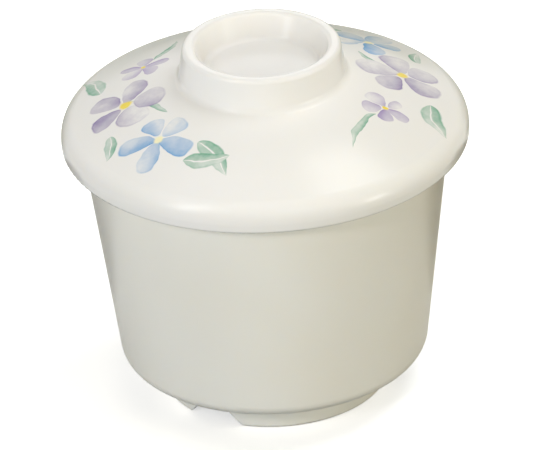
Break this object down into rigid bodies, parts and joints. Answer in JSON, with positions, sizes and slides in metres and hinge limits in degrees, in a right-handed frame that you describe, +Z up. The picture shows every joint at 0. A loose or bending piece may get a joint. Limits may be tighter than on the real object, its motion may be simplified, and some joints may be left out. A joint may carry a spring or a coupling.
{
  "type": "lidded steaming bowl",
  "caption": "Tapered steaming bowl on a notched foot ring, with a loose domed lid that laps over the rim and lifts by a hollow grip ring.",
  "frame": {"origin": "centre of the foot ring's underside, on the table", "axes": "+Z up along the bowl's axis, -X through the middle of one drain notch"},
  "size_m": [0.095, 0.095, 0.0875],
  "materials": {
    "bowl_melamine": "glossy moulded melamine, ivory white",
    "lid_melamine": "glossy moulded melamine, ivory white with a printed wash of flowers on the dome"
  },
  "bodies": {
    "bowl": {"bowl": "bowl_melamine"},
    "lid": {"lid": "lid_melamine"}
  },
  "joints": [
    {"name": "lid_lift", "type": "slide", "parent": "bowl", "child": "lid", "axis": [0, 0, 1], "range_m": [0, 0.1]}
  ]
}
